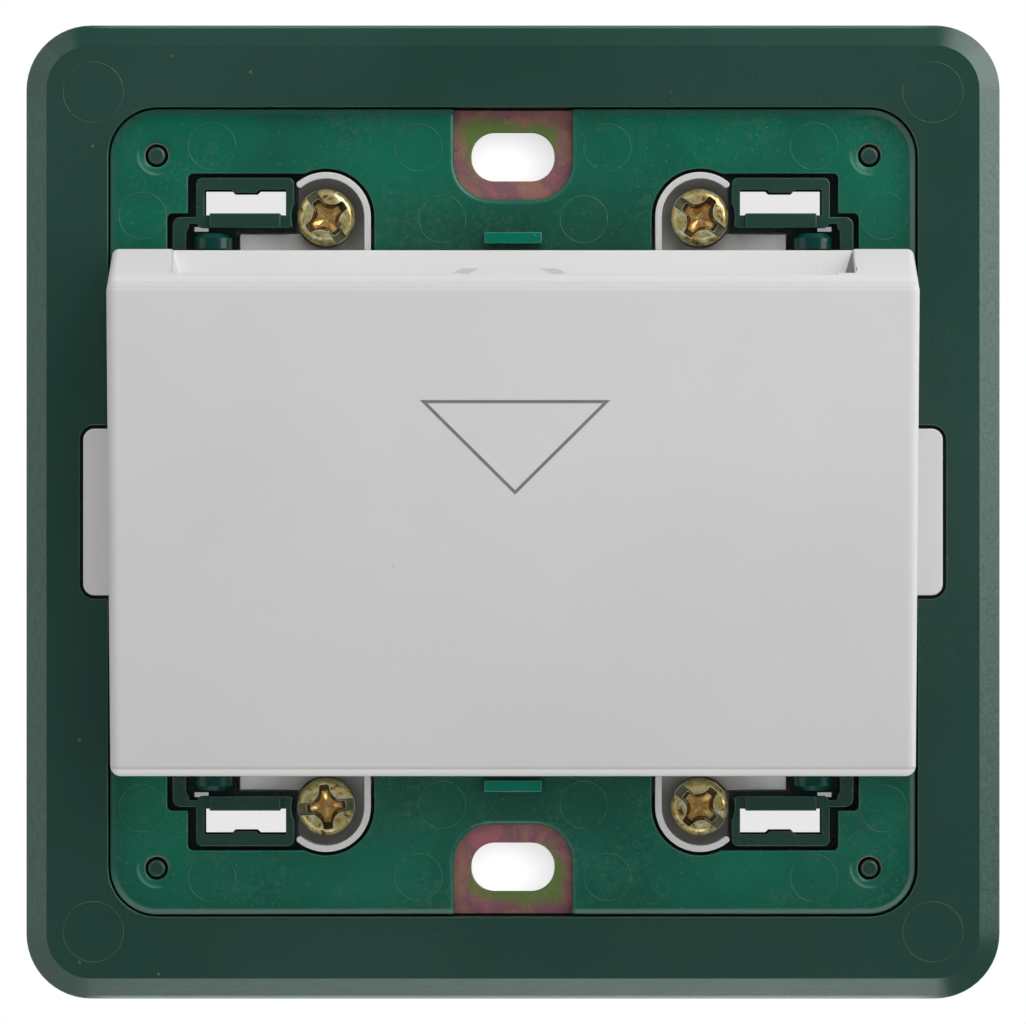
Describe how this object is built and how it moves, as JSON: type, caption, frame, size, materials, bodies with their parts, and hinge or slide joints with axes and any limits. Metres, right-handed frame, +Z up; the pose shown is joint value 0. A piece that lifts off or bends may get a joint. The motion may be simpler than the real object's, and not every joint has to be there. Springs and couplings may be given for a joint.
{
  "type": "hotel key card switch",
  "caption": "Square flush wall frame carrying a wedge-shaped card pocket; a card pushed down the slot tilts a sprung lever that closes the two poles of a switch behind it.",
  "frame": {"origin": "middle of the square frame, on the wall plane at the back of its border", "axes": "+X to the right as seen from the front, +Y into the wall, +Z up; the front faces -Y"},
  "size_m": [0.0826, 0.0368, 0.0826],
  "materials": {
    "frame_plastic": "fine satin moulding, dark green",
    "sheet_plastic": "semi-gloss moulding, bright green",
    "strap_steel": "zinc plated and iridescent yellow passivated",
    "pale_plastic": "fine matt moulding, pale grey",
    "lever_plastic": "satin moulding, mid grey",
    "switch_plastic": "satin moulding, near black",
    "plunger_plastic": "smooth moulding, ivory",
    "bright_steel": "bright zinc plated",
    "spring_steel": "drawn spring wire",
    "passivated_steel": "zinc plated and yellow passivated",
    "cage_steel": "zinc plated",
    "bar_brass": "stamped brass",
    "contact_brass": "rolled contact alloy"
  },
  "bodies": {
    "housing": {"mounting_frame": "frame_plastic", "fixing_strap": "strap_steel", "insulating_sheet": "sheet_plastic", "module_base": "pale_plastic", "rear_cover": "pale_plastic", "guide_plate": "pale_plastic", "pocket_cover": "pale_plastic", "lever_pin": "bright_steel", "lever_spring": "spring_steel", "pocket_screws": "bright_steel", "rear_cover_screws": "bright_steel", "left_switch_case": "switch_plastic", "left_switch_lid": "switch_plastic", "left_line_bar": "bar_brass", "left_load_bar": "bar_brass", "right_switch_case": "switch_plastic", "right_switch_lid": "switch_plastic", "right_line_bar": "bar_brass", "right_load_bar": "bar_brass"},
    "card_lever": {"card_lever": "lever_plastic"},
    "left_plunger": {"left_plunger": "plunger_plastic"},
    "left_contact_blade": {"left_contact_blade": "contact_brass"},
    "right_plunger": {"right_plunger": "plunger_plastic"},
    "right_contact_blade": {"right_contact_blade": "contact_brass"},
    "upper_left_terminal_screw": {"upper_left_terminal_screw": "passivated_steel"},
    "upper_left_terminal_cage": {"upper_left_terminal_cage": "cage_steel"},
    "upper_right_terminal_screw": {"upper_right_terminal_screw": "passivated_steel"},
    "upper_right_terminal_cage": {"upper_right_terminal_cage": "cage_steel"},
    "lower_left_terminal_screw": {"lower_left_terminal_screw": "passivated_steel"},
    "lower_left_terminal_cage": {"lower_left_terminal_cage": "cage_steel"},
    "lower_right_terminal_screw": {"lower_right_terminal_screw": "passivated_steel"},
    "lower_right_terminal_cage": {"lower_right_terminal_cage": "cage_steel"}
  },
  "joints": [
    {"name": "card_press", "type": "hinge", "parent": "housing", "child": "card_lever", "pos_m": [0, -0.0042, 0.002], "axis": [1, 0, 0], "range_deg": [0, 10], "stiffness_Nm_per_rad": 0.02, "springref_deg": -8.59, "deforming": ["lever_spring"]},
    {"name": "left_plunger_travel", "type": "slide", "parent": "housing", "child": "left_plunger", "axis": [0, 1, 0], "range_m": [0, 0.0021]},
    {"name": "left_blade_tilt", "type": "hinge", "parent": "housing", "child": "left_contact_blade", "pos_m": [-0.0096, 0.00839, 0.006], "axis": [1, 0, 0], "range_deg": [0, 7.6]},
    {"name": "right_plunger_travel", "type": "slide", "parent": "housing", "child": "right_plunger", "axis": [0, 1, 0], "range_m": [0, 0.0021]},
    {"name": "right_blade_tilt", "type": "hinge", "parent": "housing", "child": "right_contact_blade", "pos_m": [0.0096, 0.00839, 0.006], "axis": [1, 0, 0], "range_deg": [0, 7.6]},
    {"name": "upper_left_screw_turn", "type": "hinge", "parent": "housing", "child": "upper_left_terminal_screw", "pos_m": [-0.01585, 0, 0.025], "axis": [0, 1, 0], "range_deg": [0, 2017]},
    {"name": "upper_left_cage_rise", "type": "slide", "parent": "housing", "child": "upper_left_terminal_cage", "axis": [0, -1, 0], "range_m": [0, 0.0028]},
    {"name": "upper_right_screw_turn", "type": "hinge", "parent": "housing", "child": "upper_right_terminal_screw", "pos_m": [0.01585, 0, 0.025], "axis": [0, 1, 0], "range_deg": [0, 2017]},
    {"name": "upper_right_cage_rise", "type": "slide", "parent": "housing", "child": "upper_right_terminal_cage", "axis": [0, -1, 0], "range_m": [0, 0.0028]},
    {"name": "lower_left_screw_turn", "type": "hinge", "parent": "housing", "child": "lower_left_terminal_screw", "pos_m": [-0.01585, 0, -0.025], "axis": [0, 1, 0], "range_deg": [0, 2017]},
    {"name": "lower_left_cage_rise", "type": "slide", "parent": "housing", "child": "lower_left_terminal_cage", "axis": [0, -1, 0], "range_m": [0, 0.0028]},
    {"name": "lower_right_screw_turn", "type": "hinge", "parent": "housing", "child": "lower_right_terminal_screw", "pos_m": [0.01585, 0, -0.025], "axis": [0, 1, 0], "range_deg": [0, 2017]},
    {"name": "lower_right_cage_rise", "type": "slide", "parent": "housing", "child": "lower_right_terminal_cage", "axis": [0, -1, 0], "range_m": [0, 0.0028]}
  ],
  "couplings": [
    {"joint": "left_plunger_travel", "follows": "card_press", "m_per_rad": 0.012},
    {"joint": "left_blade_tilt", "follows": "card_press", "ratio": 0.75},
    {"joint": "right_plunger_travel", "follows": "card_press", "m_per_rad": 0.012},
    {"joint": "right_blade_tilt", "follows": "card_press", "ratio": 0.75},
    {"joint": "upper_left_screw_turn", "follows": "upper_left_cage_rise", "rad_per_m": 12566},
    {"joint": "upper_right_screw_turn", "follows": "upper_right_cage_rise", "rad_per_m": 12566},
    {"joint": "lower_left_screw_turn", "follows": "lower_left_cage_rise", "rad_per_m": 12566},
    {"joint": "lower_right_screw_turn", "follows": "lower_right_cage_rise", "rad_per_m": 12566}
  ]
}
